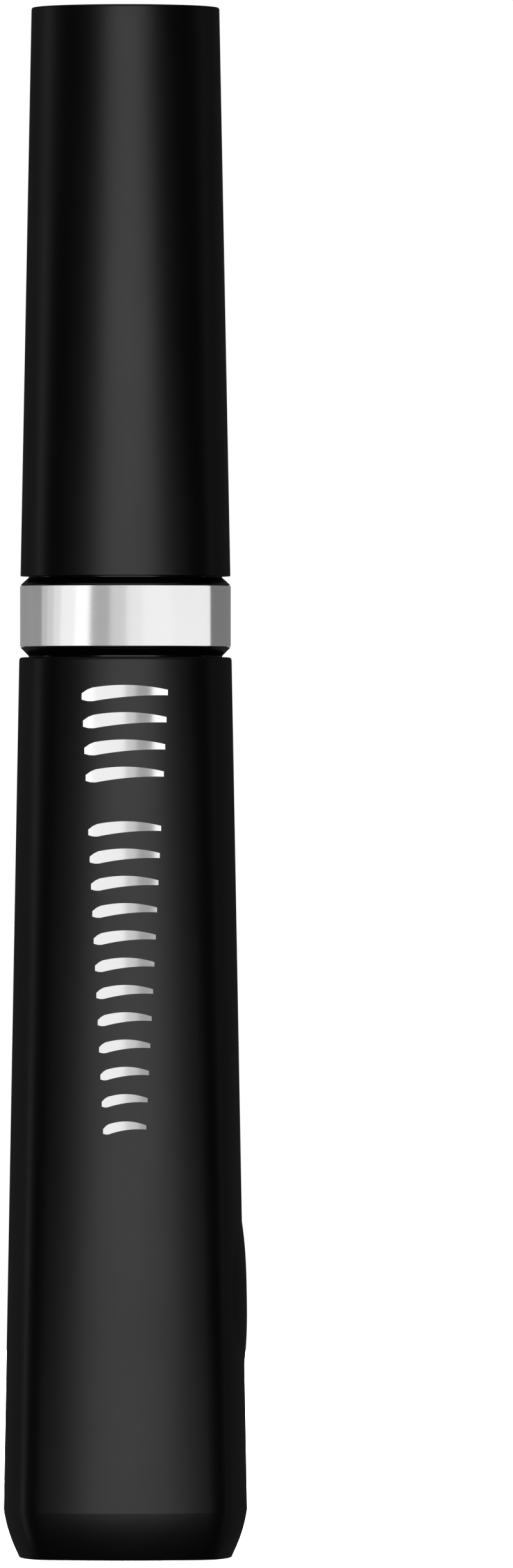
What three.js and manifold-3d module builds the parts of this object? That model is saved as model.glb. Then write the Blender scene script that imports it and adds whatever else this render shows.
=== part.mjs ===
// Mascara tube, closed: a black vial with a silver band, and a cap that carries a stem and a moulded brush.
// Millimetres, +Z up, origin at the centre of the foot, the vial's front face towards -Y.

import * as THREE from 'three';
import { mergeVertices } from 'three/addons/utils/BufferGeometryUtils.js';
import Module from 'manifold-3d';

const wasm = await Module();
wasm.setup();

// ---- driving dimensions ----

const HEIGHT = 130.0;

// outer faces: half-width across the flats at each level
const FOOT = { z: 0, half: 8.91 };
const FOOT_BEVEL_TOP = { z: 3.97, half: 10.22 };
const VIAL_TOP = { z: 75.47, half: 8.915 };
const CAP_RIM = { z: 82.26, half: 8.81 };
const CAP_TOP = { z: HEIGHT, half: 7.885 };
const BAND_LOW = { z: 76.36, half: 8.84 };
const BAND_HIGH = { z: 81.46, half: 8.84 };
const COLLAR_LOW = { z: 75.58, half: 8.12 };
const COLLAR_HIGH = { z: 82.16, half: 8.12 };
const FOOT_BEVEL_BULGE = 0.19;      // how far the foot's bevel stands proud of its chord
const EDGE_ROUND = 0.2;             // rounding of the vial's top edge and of the cap's top edge
const BAND_THICK = 0.3;
const BAND_GAP = { around: 0.1, ends: 0.04 };   // between the band and the collar's seat for it
const BOSS = {
  z: 22.2, radius: 5.9, proud: 0.3, fullness: 2.7, sunk: 0.5, rimSunk: 0.02, rings: 4, around: 20,
};

// round walls inside
const SHELL_BORE = { low: 7.9, high: 7.3, top: 74.1 };
const SHELL_NECK_HOLE = 6.3;
const PLUG = { radius: 7.65, thick: 2.0, recess: 5.2, recessDeep: 0.35, chamfer: 0.2 };
const LABEL = { radius: 4.95, thick: 0.2, lift: 0.08 };
const BOTTLE = { low: 7.6, high: 7.0, floor: 2.3, shoulder: 73.8, wall: 0.8, heel: 0.8, slope: 1.0 };
const NECK = { outer: 5.5, bore: 4.75, top: 92.0, root: 5.9, rootTop: 82.0, step: 0.4 };
const THREAD = { crest: 6.0, z: 84.2, pitch: 3.2, turns: 1.5, half: 0.55, rooted: 0.2, stepsPerTurn: 24 };
const COLLAR_BORE = 6.15;
const COLLAR_LIP = { radius: 7.25, rise: 0.3 };   // stands inside the cap's rim
const WIPER = {
  outer: 4.6, bore: 4.3, lip: 2.65, lipZ: 81.0, lipThick: 0.35, cone: 2.6, wall: 0.3,
  flange: 5.4, flangeThick: 0.6, seatGap: 0.05,
};
const WASHER = { outer: 5.5, bore: 2.75, z: 92.9, thick: 0.8 };
const INSERT = { outer: 7.2, bore: 6.65, crest: 6.2, rim: 82.7, roof: 95.3, roofThick: 1.4, draft: 0.35 };
const HOLDER = {
  outer: 4.4, bore: 3.2, top: 104.0, bead: 99.1, beadBore: 2.8, beadHalf: 0.4, beadFlat: 0.2,
  ribs: 4, ribThick: 0.9, ribReach: 6.75, ribRooted: 0.5, ribDrop: 0.6,
};
const CAP_BORE = { low: 7.5, high: 6.7, roof: 128.4, mouth: 1.0 };

// applicator
const STEM = { radius: 2.425, low: 30.7, around: 32 };
const STEM_SHOULDER = { rim: 1.9, tip: 2.12, rounded: 0.15, long: 3.0, fullness: 3, steps: 5 };
const STEM_MOUTH = { radius: 1.78, deep: 0.6 };
const STEM_FLANGE = { radius: 5.0, low: 93.9, high: 95.0 };
const STEM_HEAD = { radius: 2.95, top: 103.0, groove: 2.6, grooveLow: 98.5, grooveHigh: 99.7, chamfer: 0.4 };
const SOCKET = { radius: 1.35, deep: 9.0, cone: 0.5 };
const BRUSH = {
  tip: 6.45, root: 31.0, coreTip: 1.58, coreRoot: 1.68, rootChamfer: 0.3, around: 24,
  nose: 0.9, noseShoulder: 1.27, noseBlunt: 0.25, noseLong: 0.75,
};
const FACET = { half: 0.29, clearOfTip: 0.6, clearOfRoot: 0.6 };
const SHANK = { radius: 1.05, long: 8.2 };
const BRISTLE = { pitch: 0.97, perRow: 24, first: 0.83, rooted: 1.0, thick: 0.3, tipThick: 0.14 };
const BRISTLE_REACH = { middle: 4.1, end: 3.45, fullness: 3 };

// bristle rows: angle about the stem from +X, and whether the row is set half a pitch along
const ROWS = [
  { angle: -88, shifted: true },
  { angle: -40, shifted: false },
  { angle: 0, shifted: true },
  { angle: 60, shifted: false },
  { angle: 120, shifted: true },
  { angle: 180, shifted: false },
];

// the crowned square: how much flatter than round its sides are, and how its corners open out with height
const CROWN = { gain: 1.07, roundAt: 0.96 };
const CORNER = { least: 0.28, gain: 0.72, power: 1.8 };

const SECTION_STEPS = { crown: 3, corner: 3 };   // facets in each eighth of a crowned square
const LEVELS = { bevel: 4, vial: 6, cap: 6, band: 2 };
const ROUND_STEPS = 40;

// ---- closed meshes and solids ----

function toSolid(geometry) {
  const bare = geometry.index ? geometry.clone() : mergeVertices(geometry.clone());
  bare.deleteAttribute('normal');
  bare.deleteAttribute('uv');
  const merged = mergeVertices(bare, 1e-4);
  const mesh = new wasm.Mesh({
    numProp: 3,
    vertProperties: new Float32Array(merged.attributes.position.array),
    triVerts: new Uint32Array(merged.index.array),
  });
  return new wasm.Manifold(mesh);
}

function meshOf(positions, index) {
  const geometry = new THREE.BufferGeometry();
  geometry.setAttribute('position', new THREE.Float32BufferAttribute(positions, 3));
  geometry.setIndex(index);
  return geometry;
}

function toGeometry(solid) {
  const mesh = solid.getMesh();
  const geometry = new THREE.BufferGeometry();
  geometry.setAttribute('position', new THREE.BufferAttribute(mesh.vertProperties, 3));
  geometry.setIndex(new THREE.BufferAttribute(mesh.triVerts, 1));
  return geometry;
}

// A solid of revolution about Z. The outline is [radius, z] pairs: it runs upwards from the axis
// to the axis, or, for a ring, counter-clockwise back to its first point.
function lathe(outline, steps = ROUND_STEPS) {
  const geometry = new THREE.LatheGeometry(outline.map(([r, z]) => new THREE.Vector2(r, z)), steps);
  return toSolid(geometry.rotateX(Math.PI / 2));
}

// A ring between two heights whose bore and outside may both taper: each side is [radius low, radius high].
function ring(bore, outside, low, high, steps = ROUND_STEPS) {
  return lathe([
    [bore[0], low], [outside[0], low], [outside[1], high], [bore[1], high], [bore[0], low],
  ], steps);
}

function disc(radius, low, high, steps = ROUND_STEPS) {
  return lathe([[0, low], [radius, low], [radius, high], [0, high]], steps);
}

// ---- the crowned square that every outer face follows ----

// Its four crowned sides and four rounded corners flow into a circle towards the cap's top.
function crownRadius(half, z) {
  return half * (1 + CROWN.gain * Math.max(CROWN.roundAt - z / HEIGHT, 0));
}

function crownedSquare(half, z) {
  const crown = crownRadius(half, z);
  const corner = half * (CORNER.least + CORNER.gain * (z / HEIGHT) ** CORNER.power);
  const inset = crown - half;
  const centre = (Math.sqrt(2 * (crown - corner) ** 2 - inset ** 2) - inset) / 2;
  const tangent = Math.atan2(centre, centre + inset);
  const eighth = [];
  for (let i = 0; i < SECTION_STEPS.crown; i++) {
    const turn = tangent * i / SECTION_STEPS.crown;
    eighth.push([crown * Math.cos(turn) - inset, crown * Math.sin(turn)]);
  }
  for (let i = 0; i <= SECTION_STEPS.corner; i++) {
    const turn = tangent + (Math.PI / 4 - tangent) * i / SECTION_STEPS.corner;
    eighth.push([centre + corner * Math.cos(turn), centre + corner * Math.sin(turn)]);
  }
  const mirrored = eighth.slice(1, -1).reverse().map(([x, y]) => [y, x]);
  const quarter = eighth.concat(mirrored);
  const points = [];
  for (let side = 0; side < 4; side++) {
    const cos = Math.round(Math.cos(side * Math.PI / 2));
    const sin = Math.round(Math.sin(side * Math.PI / 2));
    for (const [x, y] of quarter) points.push([x * cos - y * sin, x * sin + y * cos]);
  }
  return points;
}

// A closed solid through crowned squares at rising levels, each { z, half }.
function loft(levels) {
  const positions = [];
  const index = [];
  let count = 0;
  for (const { z, half } of levels) {
    const section = crownedSquare(half, z);
    count = section.length;
    for (const [x, y] of section) positions.push(x, y, z);
  }
  for (let level = 0; level + 1 < levels.length; level++) {
    for (let i = 0; i < count; i++) {
      const next = (i + 1) % count;
      const a = level * count + i;
      const b = level * count + next;
      index.push(a, b, b + count, a, b + count, a + count);
    }
  }
  const bottom = positions.length / 3;
  positions.push(0, 0, levels[0].z, 0, 0, levels.at(-1).z);
  const lastRing = (levels.length - 1) * count;
  for (let i = 0; i < count; i++) {
    const next = (i + 1) % count;
    index.push(bottom, next, i, bottom + 1, lastRing + i, lastRing + next);
  }
  return toSolid(meshOf(positions, index));
}

function between(from, to, share) {
  return { z: from.z + (to.z - from.z) * share, half: from.half + (to.half - from.half) * share };
}

function straightRun(from, to, pieces) {
  const levels = [];
  for (let i = 0; i <= pieces; i++) levels.push(between(from, to, i / pieces));
  return levels;
}

// ---- threads ----

// A helical ridge of triangular section, rooted slightly inside the wall that it stands on.
function threadRidge(root, crest, low) {
  const { pitch, turns, half, stepsPerTurn } = THREAD;
  const steps = Math.round(turns * stepsPerTurn);
  const section = [[root, -half], [crest, -half / 3], [crest, half / 3], [root, half]];
  if (crest < root) section.reverse();
  const positions = [];
  const index = [];
  for (let i = 0; i <= steps; i++) {
    const turn = i / stepsPerTurn * 2 * Math.PI;
    const z = low + pitch * i / stepsPerTurn;
    for (const [r, dz] of section) positions.push(r * Math.cos(turn), r * Math.sin(turn), z + dz);
  }
  for (let i = 0; i < steps; i++) {
    for (let j = 0; j < 4; j++) {
      const a = i * 4 + j;
      const b = i * 4 + (j + 1) % 4;
      index.push(a, b + 4, b, a, a + 4, b + 4);
    }
  }
  const end = steps * 4;
  index.push(0, 1, 2, 0, 2, 3, end, end + 2, end + 1, end, end + 3, end + 2);
  return toSolid(meshOf(positions, index));
}

// ---- the vial ----

function footBevel() {
  const levels = [];
  for (let i = 0; i < LEVELS.bevel; i++) {
    const share = i / LEVELS.bevel;
    const level = between(FOOT, FOOT_BEVEL_TOP, share);
    level.half += 4 * FOOT_BEVEL_BULGE * share * (1 - share);
    levels.push(level);
  }
  return levels;
}

function vialOutside() {
  const edge = between(VIAL_TOP, FOOT_BEVEL_TOP, EDGE_ROUND / (VIAL_TOP.z - FOOT_BEVEL_TOP.z));
  const topFlat = { z: VIAL_TOP.z, half: VIAL_TOP.half - EDGE_ROUND };
  return loft([...footBevel(), ...straightRun(FOOT_BEVEL_TOP, edge, LEVELS.vial), topFlat]);
}

// How far out the right-hand side's wall stands, y to the side of its middle and rise above the boss's.
function sideWall(y, rise) {
  const slope = (VIAL_TOP.half - FOOT_BEVEL_TOP.half) / (VIAL_TOP.z - FOOT_BEVEL_TOP.z);
  const half = FOOT_BEVEL_TOP.half + slope * (BOSS.z - FOOT_BEVEL_TOP.z);
  const crown = crownRadius(half, BOSS.z);
  return half + slope * rise - crown + Math.sqrt(crown ** 2 - y ** 2);
}

// One face of the boss: rings of points round its middle. Lift takes a ring's share of the way out.
function bossFace(lift) {
  const { rings, around, radius, z } = BOSS;
  const points = [sideWall(0, 0) + lift(0), 0, z];
  for (let ring = 1; ring <= rings; ring++) {
    const out = ring / rings;
    for (let i = 0; i < around; i++) {
      const turn = 2 * Math.PI * i / around;
      const y = radius * out * Math.cos(turn);
      const rise = radius * out * Math.sin(turn);
      points.push(sideWall(y, rise) + lift(out), y, z + rise);
    }
  }
  return points;
}

// The shallow lens-shaped boss on the right-hand side. It follows the side's crown, stands proud of it by
// most at its middle, and is rooted inside the wall.
function sideBoss() {
  const { rings, around, proud, fullness, sunk, rimSunk } = BOSS;
  const outer = bossFace((out) => proud * (1 - out ** fullness) - rimSunk);
  const inner = bossFace(() => -sunk);
  const under = outer.length / 3;
  const index = [];
  const bothFaces = (a, b, c) => index.push(a, b, c, under + a, under + c, under + b);
  for (let i = 0; i < around; i++) {
    const next = (i + 1) % around;
    bothFaces(0, 1 + i, 1 + next);
    for (let ring = 1; ring < rings; ring++) {
      const near = 1 + (ring - 1) * around;
      const far = near + around;
      bothFaces(near + i, far + i, far + next);
      bothFaces(near + i, far + next, near + next);
    }
    const rim = 1 + (rings - 1) * around;
    index.push(rim + i, under + rim + next, rim + next, rim + i, under + rim + i, under + rim + next);
  }
  return toSolid(meshOf([...outer, ...inner], index));
}

function vialShell() {
  const cavity = lathe([
    [0, -1], [SHELL_BORE.low, -1], [SHELL_BORE.low, PLUG.thick], [SHELL_BORE.high, SHELL_BORE.top],
    [0, SHELL_BORE.top],
  ]);
  const neckHole = disc(SHELL_NECK_HOLE, SHELL_BORE.top - 1, VIAL_TOP.z + 1);
  return vialOutside().add(sideBoss()).subtract(cavity).subtract(neckHole);
}

function basePlug() {
  const { radius, thick, recess, recessDeep, chamfer } = PLUG;
  return lathe([
    [recess, 0], [radius, 0], [radius, thick - chamfer], [radius - chamfer, thick],
    [0, thick], [0, recessDeep], [recess, recessDeep], [recess, 0],
  ]);
}

function baseLabel() {
  return disc(LABEL.radius, LABEL.lift, LABEL.lift + LABEL.thick);
}

function innerBottle() {
  const { low, high, floor, shoulder, wall, heel, slope } = BOTTLE;
  const body = lathe([
    [0, floor], [low - heel, floor], [low, floor + heel], [high, shoulder], [NECK.root, shoulder],
    [NECK.root, NECK.rootTop], [NECK.outer, NECK.rootTop + NECK.step], [NECK.outer, NECK.top],
    [NECK.bore, NECK.top], [NECK.bore, shoulder - wall], [high - wall, shoulder - wall - slope],
    [low - wall, floor + wall + slope], [low - wall - slope, floor + wall], [0, floor + wall],
  ]);
  return body.add(threadRidge(NECK.outer - THREAD.rooted, THREAD.crest, THREAD.z));
}

// A rubber sleeve in the neck: a flange on the neck's top, and a cone that narrows to the wiping lip.
function wiper() {
  const { outer, bore, lip, lipZ, lipThick, cone, wall, flange, flangeThick, seatGap } = WIPER;
  const seat = NECK.top + seatGap;
  return lathe([
    [lip, lipZ], [lip + lipThick, lipZ - wall], [outer, lipZ + cone], [outer, seat],
    [flange, seat], [flange, seat + flangeThick], [bore, seat + flangeThick],
    [bore, lipZ + cone + wall], [lip, lipZ],
  ]);
}

// The black ring that carries the band in a shallow seat, and narrows above and below it.
function collar() {
  const inner = BAND_LOW.half - BAND_THICK - BAND_GAP.around;
  const sill = 0.01;
  const seatLow = { z: BAND_LOW.z - BAND_GAP.ends, half: BAND_LOW.half };
  const seatHigh = { z: BAND_HIGH.z + BAND_GAP.ends, half: BAND_HIGH.half };
  const outside = loft([
    COLLAR_LOW, seatLow, { z: seatLow.z + sill, half: inner }, { z: seatHigh.z - sill, half: inner },
    seatHigh, COLLAR_HIGH,
  ]);
  const lip = disc(COLLAR_LIP.radius, COLLAR_HIGH.z - COLLAR_LIP.rise, COLLAR_HIGH.z + COLLAR_LIP.rise);
  return outside.add(lip).subtract(disc(COLLAR_BORE, COLLAR_LOW.z - 1, COLLAR_HIGH.z + 1));
}

function metalBand() {
  const lining = [BAND_LOW, BAND_HIGH].map(({ z, half }) => ({ z, half: half - BAND_THICK }));
  lining[0].z -= 1;
  lining[1].z += 1;
  return loft(straightRun(BAND_LOW, BAND_HIGH, LEVELS.band)).subtract(loft(lining));
}

// ---- the cap ----

function capShell() {
  const edge = between(CAP_TOP, CAP_RIM, EDGE_ROUND / (CAP_TOP.z - CAP_RIM.z));
  const topFlat = { z: CAP_TOP.z, half: CAP_TOP.half - EDGE_ROUND };
  const { low, high, roof, mouth } = CAP_BORE;
  const cavity = lathe([
    [0, CAP_RIM.z - 1], [low, CAP_RIM.z - 1], [low, CAP_RIM.z + mouth], [high, roof], [0, roof],
  ]);
  return loft([...straightRun(CAP_RIM, edge, LEVELS.cap), topFlat]).subtract(cavity);
}

// The threaded inner cap: a skirt over the neck, a roof that the stem's flange meets, and a ribbed
// holder tube that grips the stem's head.
function capInsert() {
  const roofTop = INSERT.roof + INSERT.roofThick;
  const { bead, beadBore, beadHalf, beadFlat } = HOLDER;
  const skirt = lathe([
    [INSERT.bore, INSERT.rim], [INSERT.outer, INSERT.rim], [INSERT.outer - INSERT.draft, roofTop],
    [HOLDER.outer, roofTop], [HOLDER.outer, HOLDER.top], [HOLDER.bore, HOLDER.top],
    [HOLDER.bore, bead + beadHalf], [beadBore, bead + beadFlat], [beadBore, bead - beadFlat],
    [HOLDER.bore, bead - beadHalf], [HOLDER.bore, INSERT.roof], [INSERT.bore, INSERT.roof],
    [INSERT.bore, INSERT.rim],
  ]);
  const ridge = threadRidge(INSERT.bore + THREAD.rooted, INSERT.crest, THREAD.z + THREAD.pitch / 2);
  let body = skirt.add(ridge);
  const inner = HOLDER.outer - HOLDER.ribRooted;
  const reach = HOLDER.ribReach - inner;
  for (let i = 0; i < HOLDER.ribs; i++) {
    const rib = new THREE.BoxGeometry(reach, HOLDER.ribThick, HOLDER.top - roofTop);
    rib.translate(inner + reach / 2, 0, (HOLDER.top + roofTop - HOLDER.ribDrop) / 2);
    rib.rotateZ((i + 0.5) * 2 * Math.PI / HOLDER.ribs);
    body = body.add(toSolid(rib));
  }
  return body;
}

function sealingWasher() {
  return ring([WASHER.bore, WASHER.bore], [WASHER.outer, WASHER.outer], WASHER.z, WASHER.z + WASHER.thick);
}

// ---- the applicator ----

// The stem's end swells from its rim to its full radius along a curve.
function stemShoulder() {
  const { rim, tip, rounded, long, fullness, steps } = STEM_SHOULDER;
  const points = [[rim, STEM.low]];
  for (let i = 0; i <= steps; i++) {
    const swell = 1 - (1 - i / steps) ** fullness;
    points.push([tip + (STEM.radius - tip) * swell, STEM.low + rounded + (long - rounded) * i / steps]);
  }
  return points;
}

// The wand's stem. The brush's shank sits in its socket, and the brush core's root in its mouth.
function stem() {
  const { radius, low, around } = STEM;
  const mouth = STEM_MOUTH;
  const flange = STEM_FLANGE;
  const head = STEM_HEAD;
  const socketTop = low + SOCKET.deep;
  return lathe([
    [mouth.radius, low], ...stemShoulder(), [radius, flange.low],
    [flange.radius, flange.low], [flange.radius, flange.high], [head.radius, flange.high],
    [head.radius, head.grooveLow], [head.groove, head.grooveLow], [head.groove, head.grooveHigh],
    [head.radius, head.grooveHigh], [head.radius, head.top - head.chamfer],
    [head.radius - head.chamfer, head.top], [0, head.top], [0, socketTop],
    [SOCKET.radius, socketTop - SOCKET.cone], [SOCKET.radius, low + mouth.deep],
    [mouth.radius, low + mouth.deep], [mouth.radius, low],
  ], around);
}

// The brush core: round, with a narrow flat under each bristle row, and a blunt rounded nose.
function brushCore() {
  const { tip, root, coreTip, coreRoot, rootChamfer, nose, noseShoulder, noseBlunt, noseLong } = BRUSH;
  let core = lathe([
    [0, tip], [nose, tip], [noseShoulder, tip + noseBlunt], [coreTip, tip + noseLong],
    [coreRoot, root - rootChamfer], [coreRoot - rootChamfer, root],
    [SHANK.radius, root], [SHANK.radius, root + SHANK.long], [0, root + SHANK.long],
  ], BRUSH.around);
  const long = root - tip - FACET.clearOfTip - FACET.clearOfRoot;
  const standsAt = Math.sqrt(coreTip ** 2 - FACET.half ** 2);
  for (const { angle } of ROWS) {
    const flat = new THREE.BoxGeometry(1, 2.2 * FACET.half, long);
    flat.translate(standsAt + 0.5, 0, tip + FACET.clearOfTip + long / 2);
    flat.rotateZ(THREE.MathUtils.degToRad(angle));
    core = core.subtract(toSolid(flat));
  }
  return core;
}

// The brush is a slim barrel: bristles are longest at its middle and shorten towards both ends.
function bristleReach(place) {
  const fromMiddle = Math.abs(2 * place / (BRISTLE.perRow - 1) - 1);
  const full = 1 - fromMiddle ** BRISTLE_REACH.fullness;
  return BRISTLE_REACH.end + (BRISTLE_REACH.middle - BRISTLE_REACH.end) * full;
}

function bristleRow({ angle, shifted }) {
  const { pitch, perRow, first, rooted, thick, tipThick } = BRISTLE;
  const start = BRUSH.tip + first + (shifted ? pitch / 2 : 0);
  let row = null;
  for (let i = 0; i < perRow; i++) {
    const long = bristleReach(i) - rooted;
    const bristle = new THREE.CylinderGeometry(tipThick / 2, thick / 2, long, 4);
    bristle.rotateZ(-Math.PI / 2).translate(rooted + long / 2, 0, start + i * pitch);
    bristle.rotateZ(THREE.MathUtils.degToRad(angle));
    const solid = toSolid(bristle);
    row = row ? row.add(solid) : solid;
  }
  return row;
}

function brush() {
  return ROWS.reduce((solid, row) => solid.add(bristleRow(row)), brushCore());
}

// ---- finishes ----

function finish(color, roughness, metalness = 0) {
  return new THREE.MeshStandardMaterial({ color, roughness, metalness });
}

const PIECES = {
  vial_shell: [vialShell, finish(0x222222, 0.55)],
  base_plug: [basePlug, finish(0x1c1c1c, 0.6)],
  base_label: [baseLabel, finish(0xd8d8d6, 0.7)],
  inner_bottle: [innerBottle, finish(0x1a1a1c, 0.4)],
  wiper: [wiper, finish(0xc9c9c4, 0.65)],
  collar: [collar, finish(0x050505, 0.3)],
  metal_band: [metalBand, finish(0xd9d9dc, 0.2, 1)],
  sealing_washer: [sealingWasher, finish(0xe6e6e2, 0.8)],
  cap_shell: [capShell, finish(0x222222, 0.55)],
  cap_insert: [capInsert, finish(0x151515, 0.5)],
  stem: [stem, finish(0x080808, 0.15)],
  brush: [brush, finish(0x1e1e1e, 0.6)],
};

const mascara = new THREE.Group();
for (const [name, [shape, material]] of Object.entries(PIECES)) {
  const mesh = new THREE.Mesh(toGeometry(shape()), material);
  mesh.name = name;
  mascara.add(mesh);
}

export default mascara;
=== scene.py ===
# Mascara tube: finished surfaces, materials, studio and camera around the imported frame. Metres, +Z up.
import math
import random

import bpy
from mathutils import Matrix, Vector

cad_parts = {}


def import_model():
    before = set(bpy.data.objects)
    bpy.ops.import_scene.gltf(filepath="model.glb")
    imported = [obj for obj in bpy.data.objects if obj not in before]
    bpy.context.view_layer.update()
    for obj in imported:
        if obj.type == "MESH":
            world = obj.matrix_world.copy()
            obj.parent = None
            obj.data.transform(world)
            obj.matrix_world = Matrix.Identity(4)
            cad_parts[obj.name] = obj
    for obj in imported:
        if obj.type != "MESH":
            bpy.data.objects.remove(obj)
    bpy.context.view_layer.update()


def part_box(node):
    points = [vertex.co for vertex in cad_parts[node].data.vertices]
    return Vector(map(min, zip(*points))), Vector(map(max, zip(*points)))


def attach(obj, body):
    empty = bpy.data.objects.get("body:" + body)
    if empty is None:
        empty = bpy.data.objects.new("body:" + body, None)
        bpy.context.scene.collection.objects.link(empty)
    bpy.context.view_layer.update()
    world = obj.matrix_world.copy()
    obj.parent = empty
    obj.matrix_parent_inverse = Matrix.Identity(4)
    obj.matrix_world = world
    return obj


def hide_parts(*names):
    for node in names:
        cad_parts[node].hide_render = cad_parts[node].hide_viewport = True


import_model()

MM = 0.001

# ---- places and sizes, in millimetres, from the frame ----


def box_mm(node):
    """The low and high corners of a frame node's box."""
    low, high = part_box(node)
    return Vector(low) / MM, Vector(high) / MM


_, VIAL_HIGH = box_mm("vial_shell")
BAND_LOW, BAND_HIGH = box_mm("metal_band")
COLLAR_LOW, COLLAR_HIGH = box_mm("collar")
CAP_LOW, CAP_HIGH = box_mm("cap_shell")
_, PLUG_HIGH = box_mm("base_plug")
LABEL_LOW, LABEL_HIGH = box_mm("base_label")
BOTTLE_LOW, BOTTLE_HIGH = box_mm("inner_bottle")
_, WIPER_HIGH = box_mm("wiper")
WASHER_LOW, WASHER_HIGH = box_mm("sealing_washer")
INSERT_LOW, INSERT_HIGH = box_mm("cap_insert")
STEM_LOW, STEM_HIGH = box_mm("stem")
BRUSH_LOW, _ = box_mm("brush")

HEIGHT = CAP_HIGH.z
VIAL_WIDE, VIAL_TOP_HALF = VIAL_HIGH.x, 8.915
FOOT_HALF, FOOT_BULGE, BEVEL_TOP = 8.91, 0.19, 3.97
CAP_RIM_HALF, CAP_TOP_HALF = CAP_HIGH.x, 7.885
BAND_HALF = BAND_HIGH.x
COLLAR_NECK_HALF, COLLAR_LIP_RISE = 8.12, 0.3
BOSS_Z, BOSS_RADIUS, BOSS_PROUD, BOSS_FULLNESS = 22.2, 5.9, 0.3, 2.7

# ---- mesh making ----

SHARP_ANGLE = 34
CROWN_FLATNESS, CROWN_TOP = 1.07, 0.96      # how flat the sides are at the foot, and where they are round
CORNER_AT_FOOT, CORNER_OPENING = 0.28, 1.8  # the corner's share of the width, and how it opens upwards


def crown_radius(half, z):
    """The radius of a side's crown. It grows towards the foot, where the sides are flattest."""
    return half * (1 + CROWN_FLATNESS * max(CROWN_TOP - z / HEIGHT, 0))


def crowned_square(half, z, steps=20):
    """One level of the outer faces: four crowned sides and four rounded corners."""
    crown = crown_radius(half, z)
    corner = half * (CORNER_AT_FOOT + (1 - CORNER_AT_FOOT) * (max(z, 0) / HEIGHT) ** CORNER_OPENING)
    inset = crown - half
    centre = (math.sqrt(2 * (crown - corner) ** 2 - inset ** 2) - inset) / 2
    tangent = math.atan2(centre, centre + inset)
    corner_from = math.atan2(crown * math.sin(tangent), crown * math.cos(tangent) - inset)
    eighth = []
    for i in range(steps + 1):
        turn = math.pi / 4 * i / steps
        cos, sin = math.cos(turn), math.sin(turn)
        if turn < corner_from:
            reach = math.sqrt(crown ** 2 - (inset * sin) ** 2) - inset * cos
        else:
            reach = math.sqrt(corner ** 2 - (centre * (cos - sin)) ** 2) + centre * (cos + sin)
        eighth.append((reach * cos, reach * sin))
    quarter = eighth + [(y, x) for x, y in reversed(eighth[1:-1])]
    points = []
    for cos, sin in ((1, 0), (0, 1), (-1, 0), (0, -1)):
        points += [(x * cos - y * sin, x * sin + y * cos) for x, y in quarter]
    return points


def circle_like(section, radius):
    """A circle whose points stand at the same angles as a section's points."""
    return [(radius * x / math.hypot(x, y), radius * y / math.hypot(x, y)) for x, y in section]


MOST_CUT = 0.49     # the largest share of a straight run that one fillet may take


def rounded(points, step=None, arc_steps=5):
    """Round the corners of a (half width, z, fillet) outline, and cut its long straight runs into steps."""
    corners = []
    for i, (r, z, fillet) in enumerate(points):
        here = Vector((r, z))
        if fillet <= 0 or i in (0, len(points) - 1):
            corners.append([here])
            continue
        before = Vector(points[i - 1][:2]) - here
        after = Vector(points[i + 1][:2]) - here
        half_angle = before.angle(after) / 2
        cut = min(fillet / math.tan(half_angle), before.length * MOST_CUT, after.length * MOST_CUT)
        start, end = here + before.normalized() * cut, here + after.normalized() * cut
        arc = []
        for k in range(arc_steps + 1):
            t = k / arc_steps
            arc.append(start * (1 - t) ** 2 + here * 2 * t * (1 - t) + end * t ** 2)
        corners.append(arc)
    out = [corners[0][0]]
    for arc in corners[1:]:
        if step:
            run = arc[0] - out[-1]
            pieces = max(1, math.ceil(run.length / step))
            out += [out[-1] + run * (k / pieces) for k in range(1, pieces)]
        out += arc
    return [(p.x, p.y) for p in out]


def new_mesh(name, vertices, faces):
    mesh = bpy.data.meshes.new(name)
    mesh.from_pydata([Vector(v) * MM for v in vertices], [], faces)
    mesh.validate()
    mesh.update()
    obj = bpy.data.objects.new(name, mesh)
    bpy.context.scene.collection.objects.link(obj)
    mesh.shade_smooth()
    mesh.set_sharp_from_angle(angle=math.radians(SHARP_ANGLE))
    return obj


def grid_faces(rings, around, loop=False):
    """The four-sided faces between rings of vertices. With loop, the last ring joins the first."""
    faces = []
    last = rings if loop else rings - 1
    for ring in range(last):
        a = ring * around
        b = (ring + 1) % rings * around
        for i in range(around):
            n = (i + 1) % around
            faces.append((a + i, a + n, b + n, b + i))
    return faces


def lofted(name, levels, warp=None):
    """A closed solid from levels of equal count, of which the last joins the first."""
    vertices = [tuple(p) for level in levels for p in level]
    if warp:
        vertices = [warp(v) for v in vertices]
    faces = grid_faces(len(levels), len(levels[0]), loop=True)
    return new_mesh(name, vertices, faces)


def square_level(half, z):
    return [(x, y, z) for x, y in crowned_square(half, z)]


def round_level(radius, z):
    section = circle_like(crowned_square(FOOT_HALF, z), radius)
    return [(x, y, z) for x, y in section]


def turned(name, outline, segments=96):
    """A solid of revolution. Its outline starts and ends on the axis, or closes on itself for a ring."""
    ring = outline[0] == outline[-1]
    rows = outline[:-1] if ring else outline[1:-1]
    vertices = []
    for r, z in rows:
        for i in range(segments):
            turn = 2 * math.pi * i / segments
            vertices.append((r * math.cos(turn), r * math.sin(turn), z))
    faces = grid_faces(len(rows), segments, loop=ring)
    if not ring:
        low, high = len(vertices), len(vertices) + 1
        vertices += [(0, 0, outline[0][1]), (0, 0, outline[-1][1])]
        top = (len(rows) - 1) * segments
        for i in range(segments):
            n = (i + 1) % segments
            faces += [(low, n, i), (high, top + i, top + n)]
    return new_mesh(name, vertices, faces)


def hand_over(piece, node, body, material):
    """Give a finished piece its material, and put it in the place of a node of the frame."""
    piece.data.materials.append(material)
    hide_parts(node)
    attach(piece, body)
    return piece


# ---- materials ----


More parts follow.
